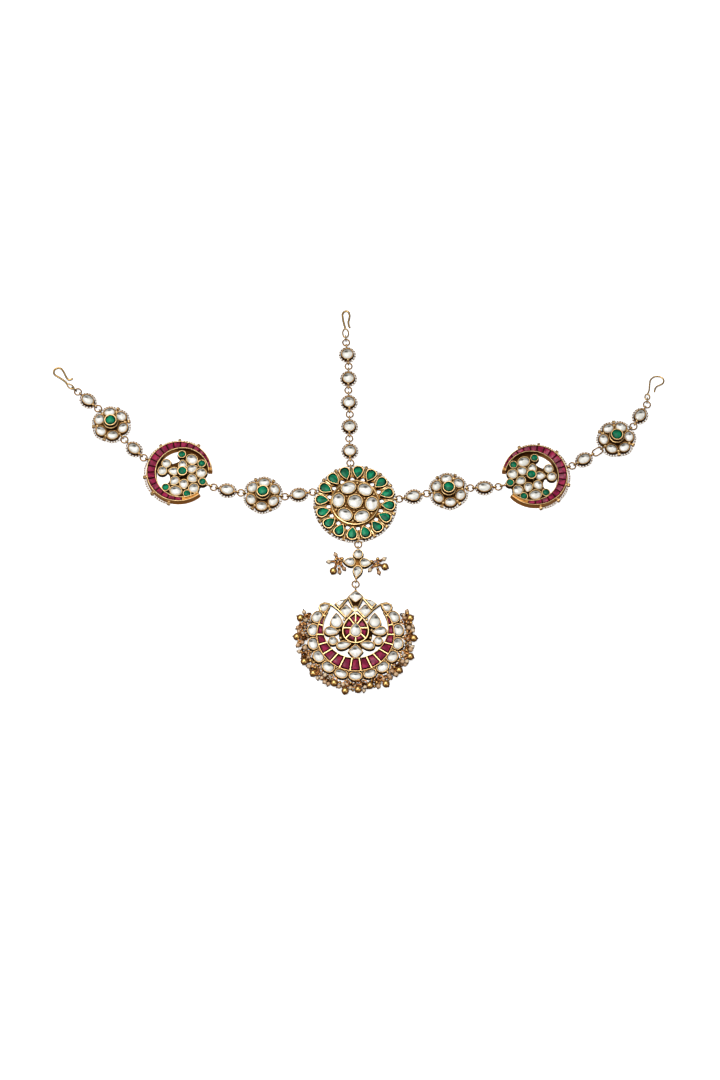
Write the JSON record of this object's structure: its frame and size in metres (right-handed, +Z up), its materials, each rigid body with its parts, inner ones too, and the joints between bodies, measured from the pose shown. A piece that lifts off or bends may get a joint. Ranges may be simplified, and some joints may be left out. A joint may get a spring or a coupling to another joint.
{
  "type": "matha patti head ornament",
  "caption": "Bridal head ornament: a round stone-set medallion with jointed chain arms to both sides, a chain strip to the top, hooks at the ends and a fringed pendant below.",
  "frame": {"origin": "middle of the medallion's back, on the surface that the ornament lies on", "axes": "+X along the spread arms, +Y up the top strip, +Z up from the surface"},
  "size_m": [0.3196, 0.2147, 0.0077],
  "materials": {
    "gold_plate": "antique gold plating, cast and chased, satin with brighter edges",
    "gold_wire": "drawn gold-plated wire, smooth and fairly bright",
    "gold_ball": "polished gold-plated balls",
    "white_stone": "clear foil-backed kundan stone, polished",
    "green_stone": "emerald green foil-backed stone, polished",
    "red_stone": "ruby red foil-backed stone, polished",
    "pearl": "creamy pearl lustre"
  },
  "bodies": {
    "root": {"medallion": "gold_plate", "ring_top_1": "gold_wire", "link_top_1": "gold_plate", "ring_top_2": "gold_wire", "link_top_2": "gold_plate", "ring_top_3": "gold_wire", "link_top_3": "gold_plate", "ring_top_4": "gold_wire", "link_top_4": "gold_plate", "ring_top_5": "gold_wire", "link_top_5": "gold_plate", "ring_top_6": "gold_wire", "small_ring_top": "gold_wire", "hook_top": "gold_wire", "ring_left_1": "gold_wire", "link_left_1": "gold_plate", "ring_left_2": "gold_wire", "flower_left_inner": "gold_plate", "ring_left_3": "gold_wire", "link_left_2": "gold_plate", "ring_left_4": "gold_wire", "crescent_left": "gold_plate", "ring_left_5": "gold_wire", "link_left_3": "gold_plate", "ring_left_6": "gold_wire", "flower_left_outer": "gold_plate", "ring_left_7": "gold_wire", "link_left_4": "gold_plate", "ring_left_8": "gold_wire", "small_ring_left": "gold_wire", "hook_left": "gold_wire", "ring_right_1": "gold_wire", "link_right_1": "gold_plate", "ring_right_2": "gold_wire", "flower_right_inner": "gold_plate", "ring_right_3": "gold_wire", "link_right_2": "gold_plate", "ring_right_4": "gold_wire", "crescent_right": "gold_plate", "ring_right_5": "gold_wire", "link_right_3": "gold_plate", "ring_right_6": "gold_wire", "flower_right_outer": "gold_plate", "ring_right_7": "gold_wire", "link_right_4": "gold_plate", "ring_right_8": "gold_wire", "small_ring_right": "gold_wire", "hook_right": "gold_wire", "ring_bottom_1": "gold_wire", "connector": "gold_plate", "bead_cluster_left": "gold_ball", "bead_cluster_right": "gold_ball", "ring_bottom_2": "gold_wire", "pendant": "gold_plate", "fringe_1": "gold_ball", "fringe_2": "gold_ball", "fringe_3": "gold_ball", "fringe_4": "gold_ball", "fringe_5": "gold_ball"}
  },
  "joints": []
}
